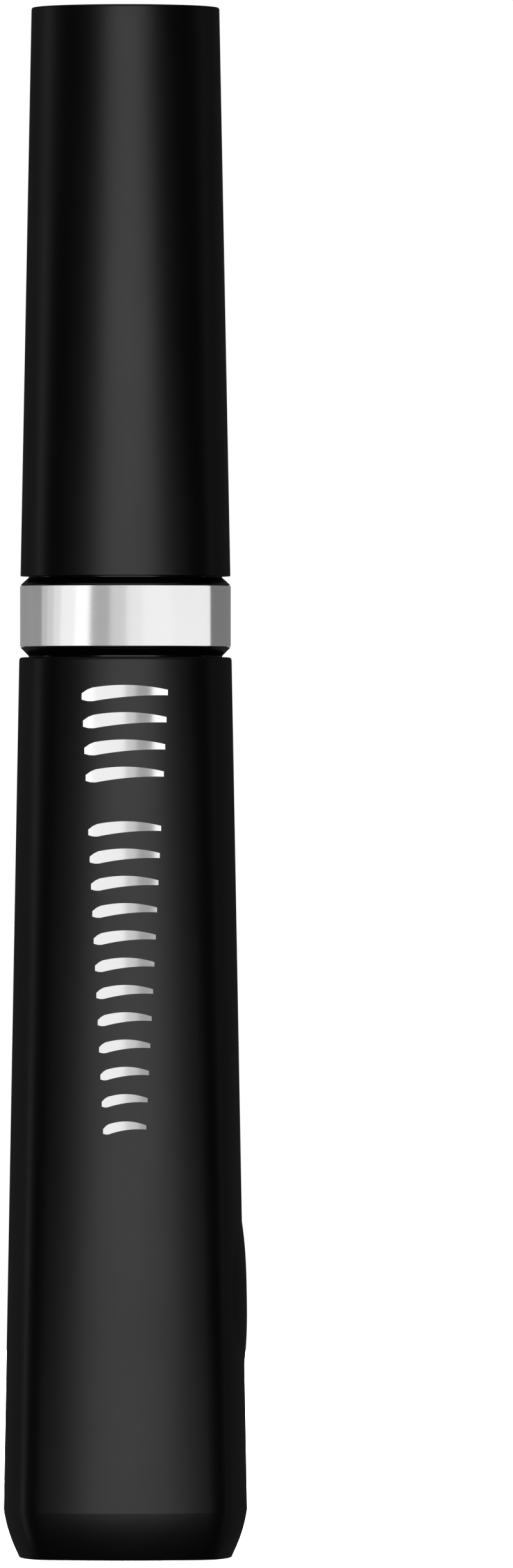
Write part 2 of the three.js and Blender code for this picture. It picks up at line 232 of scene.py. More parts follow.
class Nodes:
    """Short names for the few node kinds that the materials use."""

    def __init__(self, name):
        self.material = bpy.data.materials.new(name)
        self.material.use_nodes = True
        self.tree = self.material.node_tree
        self.shader = self.tree.nodes["Principled BSDF"]
        self.place = self.add("ShaderNodeTexCoord").outputs["Object"]

    def add(self, kind, **settings):
        node = self.tree.nodes.new(kind)
        for key, value in settings.items():
            setattr(node, key, value)
        return node

    def link(self, source, target):
        self.tree.links.new(source, target)

    def mapped(self, scale):
        node = self.add("ShaderNodeMapping")
        node.inputs["Scale"].default_value = scale
        self.link(self.place, node.inputs["Vector"])
        return node.outputs["Vector"]

    def noise(self, scale, detail=3.0, rough=0.5, stretch=None):
        node = self.add("ShaderNodeTexNoise")
        node.inputs["Scale"].default_value = scale
        node.inputs["Detail"].default_value = detail
        node.inputs["Roughness"].default_value = rough
        self.link(self.mapped(stretch) if stretch else self.place, node.inputs["Vector"])
        return node.outputs["Fac"]

    def spread(self, value, low, high, start=0.3, end=0.7):
        node = self.add("ShaderNodeMapRange")
        for key, number in (("From Min", start), ("From Max", end), ("To Min", low), ("To Max", high)):
            node.inputs[key].default_value = number
        self.link(value, node.inputs["Value"])
        return node.outputs["Result"]

    def ramp(self, value, dark, light, start=0.3, end=0.7):
        node = self.add("ShaderNodeValToRGB")
        node.color_ramp.elements[0].position = start
        node.color_ramp.elements[1].position = end
        node.color_ramp.elements[0].color = (*dark, 1)
        node.color_ramp.elements[1].color = (*light, 1)
        self.link(value, node.inputs["Fac"])
        return node.outputs["Color"]

    def bump(self, height, depth_mm, strength=1.0, before=None):
        node = self.add("ShaderNodeBump")
        node.inputs["Strength"].default_value = strength
        node.inputs["Distance"].default_value = depth_mm * MM
        self.link(height, node.inputs["Height"])
        if before:
            self.link(before, node.inputs["Normal"])
        return node.outputs["Normal"]

    def finish(self, color=None, roughness=None, normal=None, **constants):
        for key, value in (("Base Color", color), ("Roughness", roughness), ("Normal", normal)):
            if value is not None:
                self.link(value, self.shader.inputs[key])
        for key, value in constants.items():
            self.shader.inputs[key.replace("_", " ")].default_value = value
        return self.material


def grey(value):
    return (value, value, value)


def satin_black(name, base=0.001, rough=0.385):
    """A thin satin coat: fine orange peel, a trace of grain, and faint handling marks in the gloss."""
    n = Nodes(name)
    grain = n.noise(9000, 2)
    peel = n.noise(1400, 3)
    handling = n.noise(90, 4, 0.6, stretch=(1, 1, 0.45))
    return n.finish(
        color=n.ramp(grain, grey(base * 0.8), grey(base * 1.25)),
        roughness=n.spread(handling, rough - 0.025, rough + 0.035),
        normal=n.bump(grain, 0.0015, 0.5, before=n.bump(peel, 0.006, 0.5)),
        IOR=1.5,
    )


def gloss_black(name, base=0.003, rough=0.12, index=1.5):
    n = Nodes(name)
    flow = n.noise(260, 3)
    fine = n.noise(5000, 2)
    return n.finish(
        color=n.ramp(fine, grey(base * 0.85), grey(base * 1.2)),
        roughness=n.spread(flow, rough - 0.03, rough + 0.04),
        normal=n.bump(flow, 0.01, 0.25),
        IOR=index,
    )


def moulded(name, dark, light, rough=0.5, grain_depth=0.004, **constants):
    """Injection-moulded plastic or rubber with a fine spark-eroded grain."""
    n = Nodes(name)
    grain = n.noise(4200, 4, 0.6)
    cloud = n.noise(220, 3)
    return n.finish(
        color=n.ramp(cloud, dark, light),
        roughness=n.spread(grain, rough - 0.06, rough + 0.08),
        normal=n.bump(grain, grain_depth, 0.6),
        **constants,
    )


def land_with_painted_highlight(name):
    """The narrow flats that the bristles stand on: smoother than the core, and mottled. Their base colour is
    painted lighter than the core's, a painted highlight of the key light on the flats.
    """
    n = Nodes(name)
    mottle = n.noise(3200, 4, 0.65)
    return n.finish(
        # the lighter grey here is painted highlight: it stands in for the key light's reflection on the
        # flats
        color=n.ramp(mottle, grey(0.03), grey(0.16), 0.36, 0.64),
        roughness=n.spread(mottle, 0.34, 0.2),
        normal=n.bump(mottle, 0.004, 0.5),
        IOR=2.1,
    )


def bright_metal(name, tone, rough, lines):
    """Bright metal with faint drawn lines around the tube."""
    n = Nodes(name)
    drawn = n.noise(lines, 3, 0.6, stretch=(0.02, 0.02, 1))
    cloud = n.noise(150, 3)
    return n.finish(
        color=n.ramp(cloud, grey(tone * 0.97), grey(tone)),
        roughness=n.spread(drawn, rough - 0.02, rough + 0.03),
        normal=n.bump(drawn, 0.0008, 0.4),
        Metallic=1.0,
    )


VIAL_COAT = satin_black("vial_coat", rough=0.4)
CAP_COAT = satin_black("cap_coat")
COLLAR_BLACK = gloss_black("collar_black", 0.002, 0.2)
STEM_BLACK = gloss_black("stem_black", index=1.8)
BAND_SILVER = bright_metal("band_silver", 0.83, 0.14, 9000)
FOIL_SILVER = bright_metal("foil_silver", 0.9, 0.14, 3000)
BOTTLE_BLACK = moulded("bottle_black", grey(0.010), grey(0.016), 0.38)
INSERT_BLACK = moulded("insert_black", grey(0.008), grey(0.013), 0.45)
PLUG_BLACK = moulded("plug_black", grey(0.009), grey(0.014), 0.55, 0.008)
BRUSH_BLACK = moulded("brush_black", grey(0.022), grey(0.036), 0.5)
LAND_PAINTED_HIGHLIGHT = land_with_painted_highlight("brush_land_painted_highlight")
WIPER_SOFT = moulded("wiper_soft", (0.50, 0.50, 0.47), (0.60, 0.60, 0.57), 0.5)
WASHER_FOAM = moulded("washer_foam", (0.62, 0.62, 0.60), (0.74, 0.74, 0.71), 0.8, 0.02)
LABEL_FILM = moulded("label_film", (0.66, 0.66, 0.65), (0.70, 0.70, 0.69), 0.4, 0.002)

# ---- the vial ----

SHELL_BORE_LOW, SHELL_BORE_HIGH, SHELL_ROOF = 7.9, 7.3, 74.1
NECK_HOLE = 6.3
ROUND_WITHIN = 7.3  # the shell's sections are round inside this radius
FOOT_ROUND, BEVEL_ROUND, VIAL_TOP_ROUND = 0.12, 0.25, 0.3
BEVEL_STEPS = 8
LEAD_IN = 0.1       # the small chamfer at the mouth of a bore


def wall_half(z):
    """Half the vial's width at a height above the foot's bevel."""
    share = (z - BEVEL_TOP) / (VIAL_HIGH.z - BEVEL_TOP)
    return VIAL_WIDE + (VIAL_TOP_HALF - VIAL_WIDE) * share


def boss_lift(vertex):
    """Raise the lens-shaped boss out of the right-hand side."""
    x, y, z = vertex
    out = math.hypot(y, z - BOSS_Z) / BOSS_RADIUS
    if x < FOOT_HALF or out >= 1:
        return vertex
    return (x + BOSS_PROUD * (1 - out ** BOSS_FULLNESS), y, z)


def foot_bevel():
    """The bevel's levels between the foot and the widest level, bulging slightly on the way."""
    bevel = []
    for i in range(1, BEVEL_STEPS):
        share = i / BEVEL_STEPS
        half = FOOT_HALF + (VIAL_WIDE - FOOT_HALF) * share + 4 * FOOT_BULGE * share * (1 - share)
        bevel.append((half, BEVEL_TOP * share, 0))
    return bevel


def vial_shell():
    outline = [
        (SHELL_BORE_LOW + LEAD_IN, 0, 0), (FOOT_HALF, 0, FOOT_ROUND), *foot_bevel(),
        (VIAL_WIDE, BEVEL_TOP, BEVEL_ROUND), (VIAL_TOP_HALF, VIAL_HIGH.z, VIAL_TOP_ROUND),
        (NECK_HOLE + LEAD_IN, VIAL_HIGH.z, 0),
    ]
    outside = rounded(outline, step=0.45)
    levels = [square_level(half, z) for half, z in outside]
    levels[0] = round_level(*outside[0])
    for i, (half, z) in enumerate(outside):
        if half <= ROUND_WITHIN:
            levels[i] = round_level(half, z)
    inside = [
        (NECK_HOLE, VIAL_HIGH.z - LEAD_IN), (NECK_HOLE, SHELL_ROOF), (SHELL_BORE_HIGH, SHELL_ROOF),
        (SHELL_BORE_LOW, PLUG_HIGH.z), (SHELL_BORE_LOW, LEAD_IN),
    ]
    levels += [round_level(r, z) for r, z in inside]
    shell = lofted("vial_shell_finished", levels, warp=boss_lift)
    return hand_over(shell, "vial_shell", "vial", VIAL_COAT)


def collar():
    """The black ring under the band. It meets the vial, and its round lip stands inside the cap's rim."""
    seat, seat_play, ledge, ledge_round = BAND_HALF - 0.4, 0.03, 0.04, 0.05
    bore, lip, lip_inside = 6.15, 7.25, 6.85
    foot_z, shoulder_z, lip_z = VIAL_HIGH.z + 0.02, CAP_LOW.z - 0.03, COLLAR_HIGH.z
    bevel_low, bevel_high = COLLAR_LOW.z, COLLAR_HIGH.z - COLLAR_LIP_RISE
    recess_z = shoulder_z - 0.2
    outline = [
        (COLLAR_NECK_HALF, foot_z, 0), (COLLAR_NECK_HALF, bevel_low, 0),
        (BAND_HALF, BAND_LOW.z - ledge, ledge_round), (seat, BAND_LOW.z - seat_play, 0),
        (seat, BAND_HIGH.z + seat_play, 0), (BAND_HALF, BAND_HIGH.z + ledge, ledge_round),
        (COLLAR_NECK_HALF, bevel_high, 0), (COLLAR_NECK_HALF, shoulder_z, 0),
    ]
    levels = [square_level(half, z) for half, z in rounded(outline, arc_steps=3)]
    inside = [
        (lip, shoulder_z), (lip, lip_z), (lip_inside, lip_z), (lip_inside, recess_z),
        (bore, recess_z), (bore, foot_z),
    ]
    levels += [round_level(radius, z) for radius, z in inside]
    ring = lofted("collar_finished", levels)
    return hand_over(ring, "collar", "vial", COLLAR_BLACK)


def metal_band():
    inner, edge_round = BAND_HALF - 0.3, 0.06
    outline = [
        (inner, BAND_LOW.z, 0), (BAND_HALF, BAND_LOW.z, edge_round), (BAND_HALF, BAND_HIGH.z, edge_round),
        (inner, BAND_HIGH.z, 0),
    ]
    levels = [square_level(half, z) for half, z in rounded(outline, step=0.8, arc_steps=4)]
    sleeve = lofted("metal_band_finished", levels)
    return hand_over(sleeve, "metal_band", "vial", BAND_SILVER)


THREAD_LOW, THREAD_PITCH, THREAD_TURNS, THREAD_HALF = 84.2, 3.2, 1.5, 0.55
STEPS_PER_TURN, RUN_OUT_STEPS, THINNEST = 72, 9, 0.04
# the ridge's section: shares of its height out from the root, and of its half width up
RIDGE_SECTION = [(0, -1), (0.55, -0.7), (1, -0.3), (1, 0.3), (0.55, 0.7), (0, 1), (-0.4, 0)]


def thread_ridge(root, crest, low):
    """A helical ridge that runs out at both ends, as vertices and faces. Its crest may lie in or out."""
    steps = round(THREAD_TURNS * STEPS_PER_TURN)
    vertices = []
    for i in range(steps + 1):
        turn = 2 * math.pi * i / STEPS_PER_TURN
        from_end = min(1, i / RUN_OUT_STEPS, (steps - i) / RUN_OUT_STEPS)
        height = (crest - root) * (from_end * (1 - THINNEST) + THINNEST)
        for out, up in RIDGE_SECTION:
            r = root + height * out
            z = low + THREAD_PITCH * i / STEPS_PER_TURN + up * THREAD_HALF
            vertices.append((r * math.cos(turn), r * math.sin(turn), z))
    count = len(RIDGE_SECTION)
    faces = grid_faces(steps + 1, count)
    faces += [tuple(reversed(range(count))), tuple(range(steps * count, steps * count + count))]
    if crest > root:
        faces = [tuple(reversed(face)) for face in faces]
    return vertices, faces


def with_more(piece, additions):
    """A piece's mesh again, with further (vertices, faces) pairs added to it."""
    mesh, name = piece.data, piece.name
    vertices = [tuple(v.co / MM) for v in mesh.vertices]
    faces = [tuple(p.vertices) for p in mesh.polygons]
    for more_vertices, more_faces in additions:
        start = len(vertices)
        vertices += more_vertices
        faces += [tuple(start + i for i in face) for face in more_faces]
    bpy.data.objects.remove(piece)
    return new_mesh(name, vertices, faces)


NECK_ROOT, NECK_OUTER, NECK_BORE, NECK_CREST = 5.9, 5.5, 4.75, 6.0
INSERT_BORE, INSERT_CREST = 6.65, 6.2


def inner_bottle():
    wall, shoulder, step_low, step_high = 0.8, 73.8, 82.0, 82.4
    low, high = BOTTLE_HIGH.x, 7.0
    base, top = BOTTLE_LOW.z, BOTTLE_HIGH.z
    outline = rounded([
        (0, base, 0), (low, base, 0.8), (high, shoulder, 0.2), (NECK_ROOT, shoulder, 0),
        (NECK_ROOT, step_low, 0.1), (NECK_OUTER, step_high, 0.1), (NECK_OUTER, top, 0.12),
        (NECK_BORE, top, 0.12), (NECK_BORE, shoulder - wall, 0.1), (high - wall, shoulder - wall - 1, 0.3),
        (low - wall, base + wall, 0.6), (0, base + wall, 0),
    ], step=3.0)
    bottle = turned("inner_bottle_finished", outline)
    bottle = with_more(bottle, [thread_ridge(NECK_OUTER, NECK_CREST, THREAD_LOW)])
    return hand_over(bottle, "inner_bottle", "vial", BOTTLE_BLACK)


def wiper():
    """A sleeve in the neck with a flange above, whose cone ends in the lip that strips the brush."""
    lip, lip_low, lip_outside, lip_under = 2.65, 81.0, 3.0, 80.7
    sleeve, bore, cone_top, cone_inside = 4.6, 4.3, 83.6, 83.9
    flange_low, top = BOTTLE_HIGH.z + 0.05, WIPER_HIGH.z
    outline = rounded([
        (lip, lip_low, 0), (lip_outside, lip_under, 0.1), (sleeve, cone_top, 0.3),
        (sleeve, flange_low, 0.05), (WIPER_HIGH.x, flange_low, 0.1), (WIPER_HIGH.x, top, 0.15),
        (bore, top, 0.2), (bore, cone_inside, 0.3), (lip, lip_low, 0),
    ], step=1.0)
    return hand_over(turned("wiper_finished", outline), "wiper", "vial", WIPER_SOFT)


def base_plug():
    recess, deep = 5.2, 0.35        # for the label
    outline = rounded([
        (0, deep, 0), (recess, deep, 0.05), (recess, 0, 0.08), (PLUG_HIGH.x, 0, 0.12),
        (PLUG_HIGH.x, PLUG_HIGH.z, 0.2), (0, PLUG_HIGH.z, 0),
    ])
    plug = turned("base_plug_finished", outline)
    return hand_over(plug, "base_plug", "vial", PLUG_BLACK)


def base_label():
    edge_round = 0.04
    outline = rounded([
        (0, LABEL_LOW.z, 0), (LABEL_HIGH.x, LABEL_LOW.z, edge_round),
        (LABEL_HIGH.x, LABEL_HIGH.z, edge_round), (0, LABEL_HIGH.z, 0),
    ])
    disc = turned("base_label_finished", outline)
    return hand_over(disc, "base_label", "vial", LABEL_FILM)


# ---- the cap and applicator ----


def cap_shell():
    """Outside, then inside, each closed by a very small ring on the axis instead of a point."""
    bore_low, bore_high, roof = 7.5, 6.7, 128.4
    rim_round, top_round, pinhole = 0.06, 0.22, 0.02
    outline = [
        (bore_low + LEAD_IN, CAP_LOW.z, 0), (CAP_RIM_HALF, CAP_LOW.z, rim_round),
        (CAP_TOP_HALF, HEIGHT, top_round), (pinhole, HEIGHT, 0),
    ]
    outside = rounded(outline, step=1.5)
    top = len(outside) - 1
    levels = [square_level(half, z) for half, z in outside]
    levels[0] = round_level(*outside[0])
    inside = [
        (pinhole, roof), (bore_high, roof), (bore_low, CAP_LOW.z + 1), (bore_low, CAP_LOW.z + LEAD_IN),
    ]
    levels += [round_level(r, z) for r, z in inside]
    around = len(levels[0])
    vertices = [p for level in levels for p in level]
    faces = grid_faces(len(levels), around, loop=True)
    del faces[top * around:(top + 1) * around]
    faces.append(tuple(top * around + i for i in range(around)))
    faces.append(tuple((top + 1) * around + i for i in reversed(range(around))))
    shell = new_mesh("cap_shell_finished", vertices, faces)
    return hand_over(shell, "cap_shell", "applicator", CAP_COAT)


def insert_rib(quarter):
    """One of the four upright ribs that centre the stem's holder in the cap."""
    half, low, high = 0.45, 96.4, 103.7
    inner, outer, draft = 3.9, 6.75, 0.15
    rotation = Matrix.Rotation((quarter + 0.5) * math.pi / 2, 3, "Z")
    vertices = []
    corners = ((inner, 0, -half), (outer, draft, -half), (outer, draft, half), (inner, 0, half))
    for reach, taper, side in corners:
        vertices.append(tuple(rotation @ Vector((reach, side, low))))
        vertices.append(tuple(rotation @ Vector((reach - taper, side, high))))
    faces = [(0, 2, 3, 1), (2, 4, 5, 3), (4, 6, 7, 5), (6, 0, 1, 7), (1, 3, 5, 7), (0, 6, 4, 2)]
    return vertices, faces


def cap_insert():
    """The threaded inner cap, and above its roof the holder whose bead snaps on the stem's head."""
    roof, roof_top, holder, bore = 95.3, 96.7, 4.4, 3.2
    bead_z, bead, bead_half = 99.1, 2.8, 0.4
    low, top = INSERT_LOW.z, INSERT_HIGH.z
    outer = INSERT_HIGH.x
    draft = 0.35
    outline = rounded([
        (INSERT_BORE, low, 0), (outer, low, 0.1), (outer - draft, roof_top, 0.2), (holder, roof_top, 0.2),
        (holder, top, 0.1), (bore, top, 0.1), (bore, bead_z + bead_half, 0.05), (bead, bead_z, 0.1),
        (bore, bead_z - bead_half, 0.05), (bore, roof, 0.1), (INSERT_BORE, roof, 0.2), (INSERT_BORE, low, 0),
    ], step=2.0)
    insert = turned("cap_insert_finished", outline)
    more = [thread_ridge(INSERT_BORE, INSERT_CREST, THREAD_LOW + THREAD_PITCH / 2)]
    more += [insert_rib(quarter) for quarter in range(4)]
    insert = with_more(insert, more)
    return hand_over(insert, "cap_insert", "applicator", INSERT_BLACK)


def sealing_washer():
    inner, outer = 2.75, WASHER_HIGH.x
    outline = rounded([
        (inner, WASHER_LOW.z, 0), (outer, WASHER_LOW.z, 0.15), (outer, WASHER_HIGH.z, 0.15),
        (inner, WASHER_HIGH.z, 0.1), (inner, WASHER_LOW.z, 0),
    ])
    washer = turned("sealing_washer_finished", outline)
    return hand_over(washer, "sealing_washer", "seal", WASHER_FOAM)


STEM_RADIUS, STEM_TIP = 2.425, 2.12
SHOULDER_LOW, SHOULDER_HIGH = 0.15, 3.0     # above the stem's tip
SHOULDER_STEPS, SHOULDER_FULLNESS, STEP_CROWDING = 14, 3, 1.5
RIM_INNER, RIM_OUTER, RIM_ROUND = 1.93, 2.05, 0.04
MOUTH_RADIUS, MOUTH_DEEP = 1.78, 0.6
SOCKET_RADIUS, SOCKET_DEEP = 1.35, 9.0


def stem_shoulder():
    """The stem's end, which swells from its rounded rim to its full radius along a curve."""
    low = STEM_LOW.z
    points = [(MOUTH_RADIUS, low + 0.05), (MOUTH_RADIUS + RIM_ROUND, low)]
    points += [(RIM_INNER, low), (RIM_OUTER, low + RIM_ROUND)]
    for i in range(SHOULDER_STEPS + 1):
        share = (i / SHOULDER_STEPS) ** STEP_CROWDING
        radius = STEM_TIP + (STEM_RADIUS - STEM_TIP) * (1 - (1 - share) ** SHOULDER_FULLNESS)
        points.append((radius, low + SHOULDER_LOW + (SHOULDER_HIGH - SHOULDER_LOW) * share))
    return points


def stem():
    """The wand, from the socket for the brush's shank to the grooved head that snaps into the insert."""
    low, top = STEM_LOW.z, STEM_HIGH.z
    flange, flange_low, flange_high = 5.0, 93.9, 95.0
    head, groove, groove_low, groove_high = 2.95, 2.6, 98.5, 99.7
    socket_cone = 0.5
    outline = rounded([
        (STEM_RADIUS, low + SHOULDER_HIGH + 1, 0), (STEM_RADIUS, flange_low, 0.1), (flange, flange_low, 0.1),
        (flange, flange_high, 0.1), (head, flange_high, 0.1), (head, groove_low, 0.05),
        (groove, groove_low, 0.05), (groove, groove_high, 0.05), (head, groove_high, 0.05),
        (head, top, 0.4), (0, top, 0),
    ], step=4.0, arc_steps=8)
    socket = [
        (0, low + SOCKET_DEEP), (SOCKET_RADIUS, low + SOCKET_DEEP - socket_cone),
        (SOCKET_RADIUS, low + MOUTH_DEEP), (MOUTH_RADIUS, low + MOUTH_DEEP),
    ]
    piece = turned("stem_finished", socket + stem_shoulder() + outline)
    return hand_over(piece, "stem", "applicator", STEM_BLACK)


# ---- the brush ----

# each row's angle about the stem from +X, and whether it is set half a pitch along
BRUSH_ROWS = [(-88, True), (-40, False), (0, True), (60, False), (120, True), (180, False)]
BRISTLE_PITCH, BRISTLES_PER_ROW, FIRST_BRISTLE = 0.97, 24, 0.83
REACH_MIDDLE, REACH_END, BARREL_FULLNESS = 4.1, 3.45, 3
CORE_TIP, CORE_ROOT = 1.58, 1.68
LAND_HALF_TIP, LAND_HALF_ROOT = 0.29, 0.4
LAND_FROM_TIP, LAND_FROM_ROOT = 0.45, 0.2   # where the lands begin and end
WIDEST_LAND = 0.4                           # as a share of the core's radius
CORE_ROOT_Z = STEM_LOW.z + 0.3
SHANK_RADIUS, SHANK_LONG = 1.05, 8.2
NOSE_LONG = 0.75
ARC_STEPS = 12      # facets of the core between two lands


def core_section(radius, z):
    """A round section with a flat land under each bristle row: its points, and which spans are lands."""
    along = (z - BRUSH_LOW.z) / (CORE_ROOT_Z - BRUSH_LOW.z)
    land = LAND_HALF_TIP + (LAND_HALF_ROOT - LAND_HALF_TIP) * min(along, 1)
    half = math.asin(min(land / radius, WIDEST_LAND))
    angles = [math.radians(angle) for angle, _ in BRUSH_ROWS]
    points, lands = [], []
    for i, angle in enumerate(angles):
        following = angles[(i + 1) % len(angles)] + (2 * math.pi if i + 1 == len(angles) else 0)
        start, end = angle + half, following - half
        lands.append(len(points))
        points.append((radius * math.cos(angle - half), radius * math.sin(angle - half)))
        for k in range(ARC_STEPS):
            turn = start + (end - start) * k / ARC_STEPS
            points.append((radius * math.cos(turn), radius * math.sin(turn)))
    return points, lands


def brush_core():
    """The core's vertices and faces, and the numbers of the faces that are lands."""
    tip, root = BRUSH_LOW.z, CORE_ROOT_Z
    nose = [(0.45, tip, 0), (0.9, tip, 0.08), (1.27, tip + 0.25, 0.3), (CORE_TIP, tip + NOSE_LONG, 0.5)]
    back = [(CORE_ROOT, root - 0.3, 0.2), (CORE_ROOT - 0.3, root, 0), (SHANK_RADIUS, root + 0.02, 0)]
    outline = rounded(nose + back + [(SHANK_RADIUS, root + SHANK_LONG, 0)], step=1.0)
    levels, lands = [], []
    for radius, z in outline:
        points, lands = core_section(radius, z)
        levels.append([(x, y, z) for x, y in points])
    around = len(levels[0])
    vertices = [p for level in levels for p in level]
    faces = grid_faces(len(levels), around)
    first = next(i for i, (_, z) in enumerate(outline) if z >= tip + LAND_FROM_TIP)
    last = next(i for i, (_, z) in enumerate(outline) if z > root - LAND_FROM_ROOT)
    land_faces = [ring * around + spot for ring in range(first, last) for spot in lands]
    faces.append(tuple(reversed(range(around))))
    faces.append(tuple((len(levels) - 1) * around + i for i in range(around)))
    return vertices, faces, land_faces


# a bristle's stations: how far out from its root, its radius, and how far its barb pushes it aside
BRISTLE_STATIONS = [
    (0, 0.21, 0), (0.05, 0.185, 0), (0.14, 0.155, 0), (0.3, 0.135, 0), (0.5, 0.118, 0), (0.69, 0.108, 0),
    (0.77, 0.145, 0.055), (0.81, 0.14, 0.06), (0.87, 0.1, 0.015), (0.94, 0.08, 0), (0.985, 0.055, 0),
    (1.0, 0.02, 0),
]
BRISTLE_ROOT, BRISTLE_SIDES, BRISTLE_FLATNESS = 1.38, 8, 0.9
BRISTLE_STRAY, STRAY_SEED = 0.035, 7    # how far a tip strays from its true place


def bristle(angle, z, reach, barb, rng):
    """One fine tapered bristle, with a small barb near its tip on the side that barb's sign gives."""
    sway = rng.uniform(-BRISTLE_STRAY, BRISTLE_STRAY)
    lean = rng.uniform(-BRISTLE_STRAY, BRISTLE_STRAY)
    rotation = Matrix.Rotation(math.radians(angle), 3, "Z")
    vertices = []
    for share, radius, push in BRISTLE_STATIONS:
        out = BRISTLE_ROOT + (reach - BRISTLE_ROOT) * share
        for i in range(BRISTLE_SIDES):
            turn = 2 * math.pi * i / BRISTLE_SIDES
            y = radius * BRISTLE_FLATNESS * math.cos(turn) + sway * share
            up = radius * math.sin(turn) + push * barb + lean * share
            vertices.append(rotation @ Vector((out, y, up)) + Vector((0, 0, z)))
    faces = grid_faces(len(BRISTLE_STATIONS), BRISTLE_SIDES)
    tip = (len(BRISTLE_STATIONS) - 1) * BRISTLE_SIDES
    faces.append(tuple(reversed(range(BRISTLE_SIDES))))
    faces.append(tuple(tip + i for i in range(BRISTLE_SIDES)))
    return vertices, faces


def brush():
    rng = random.Random(STRAY_SEED)
    vertices, faces, land_faces = brush_core()
    for angle, shifted in BRUSH_ROWS:
        start = BRUSH_LOW.z + FIRST_BRISTLE + shifted * BRISTLE_PITCH / 2
        barb = 1 if shifted else -1
        for i in range(BRISTLES_PER_ROW):
            from_middle = abs(2 * i / (BRISTLES_PER_ROW - 1) - 1)
            reach = REACH_END + (REACH_MIDDLE - REACH_END) * (1 - from_middle ** BARREL_FULLNESS)
            more, more_faces = bristle(angle, start + i * BRISTLE_PITCH, reach, barb, rng)
            offset = len(vertices)
            vertices += [tuple(v) for v in more]
            faces += [tuple(offset + k for k in face) for face in more_faces]
    piece = new_mesh("brush_finished", vertices, faces)
    hand_over(piece, "brush", "applicator", BRUSH_BLACK)
    # the lands get the lighter material, whose colour holds a painted highlight
    piece.data.materials.append(LAND_PAINTED_HIGHLIGHT)
    for number in land_faces:
        piece.data.polygons[number].material_index = 1
    return piece


# ---- foil ornament ----

FOIL_TOP, FOIL_BOTTOM = 72.3, 36.0
FOIL_HALF_TOP, FOIL_HALF_BOTTOM = 3.6, 1.8
FOIL_GAP_LOW, FOIL_GAP_HIGH = 61.3, 63.9
FOIL_PROUD, FOIL_SUNK = 0.015, 0.03
STROKES, STROKE_STEPS = 17, 16
STROKE_THICK, STROKE_THINNING, STROKE_BOW = 1.15, 0.3, 0.3      # thinning is from the top to the bottom
STROKE_TAPER, TAPER_FULLNESS = 0.6, 2.2     # how a stroke thins towards its right end
BLUNT_END, BLUNT_SLOPE = 0.45, 6            # its left end's share of the thickness, and how fast it fills
STROKE_DROP, STROKE_RISE = 0.5, 1.1         # its ends' heights, as shares of its bow


def front_wall(x, z):
    """How far forward the vial's front face stands at a point."""
    half = wall_half(z)
    crown = crown_radius(half, z)
    return half - crown + math.sqrt(crown ** 2 - x ** 2)


def lash_stroke(z, half, thick, bow):
    """A slim arched stroke, thick at its left end and fine at its right end, as (x, z) pairs."""
    upper, lower = [], []
    for i in range(STROKE_STEPS + 1):
        t = i / STROKE_STEPS
        x = -half + 2 * half * t
        taper = 1 - STROKE_TAPER * t ** TAPER_FULLNESS
        half_thick = thick * taper * min(1, BLUNT_END + BLUNT_SLOPE * t) / 2
        middle = z + bow * (1 - (2 * t - 1) ** 2 - STROKE_DROP + STROKE_RISE * t)
        upper.append((x, middle + half_thick))
        lower.append((x, middle - half_thick))
    return upper, lower


def foil_ornament():
    """A column of thin strokes on the front, rooted in the shell, with a gap after the first few."""
    vertices, faces = [], []
    for k in range(STROKES):
        z = FOIL_TOP + (FOIL_BOTTOM - FOIL_TOP) * k / (STROKES - 1)
        if FOIL_GAP_LOW < z < FOIL_GAP_HIGH:
            continue
        share = (FOIL_TOP - z) / (FOIL_TOP - FOIL_BOTTOM)
        half = FOIL_HALF_TOP + (FOIL_HALF_BOTTOM - FOIL_HALF_TOP) * share
        upper, lower = lash_stroke(z, half, STROKE_THICK - STROKE_THINNING * share, STROKE_BOW)
        start = len(vertices)
        for depth in (FOIL_PROUD, -FOIL_SUNK):
            for edge in (lower, upper):
                vertices += [(x, -front_wall(x, h) - depth, h) for x, h in edge]
        n = len(upper)
        for i in range(n - 1):
            a, b = start + i, start + n + i
            c, d = start + 2 * n + i, start + 3 * n + i
            faces += [(a, a + 1, b + 1, b), (d, d + 1, c + 1, c)]
            faces += [(b, b + 1, d + 1, d), (c, c + 1, a + 1, a)]
        first, last = start, start + n - 1
        faces.append((first, first + n, first + 3 * n, first + 2 * n))
        faces.append((last, last + 2 * n, last + 3 * n, last + n))
    piece = new_mesh("foil_ornament", vertices, faces)
    piece.data.materials.append(FOIL_SILVER)
    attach(piece, "vial")
    return piece


# ---- studio ----

CAMERA_LENS, SENSOR = 450.0, 36.0
FRAME_HEIGHT = 131.6
AIM_X, AIM_Z = 11.0, 64.84
FLOOR_HALF = 0.6
DIM_WORLD = 0.012


def camera():
    """A long lens from far off, square to the front, with the tube in the left half of the picture."""
    data = bpy.data.cameras.new("camera")
    data.lens = CAMERA_LENS
    data.sensor_width = SENSOR
    distance = FRAME_HEIGHT * MM * CAMERA_LENS / SENSOR
    data.clip_start = distance * 0.05
    data.clip_end = distance * 20
    obj = bpy.data.objects.new("camera", data)
    obj.location = (AIM_X * MM, -distance, AIM_Z * MM)
    obj.rotation_euler = (math.pi / 2, 0, 0)
    bpy.context.scene.collection.objects.link(obj)
    bpy.context.scene.camera = obj


def stage_material():
    n = Nodes("pale_floor")
    cloud = n.noise(6, 2)
    return n.finish(color=n.ramp(cloud, grey(0.93), grey(0.95)), roughness=n.spread(cloud, 0.85, 0.9))


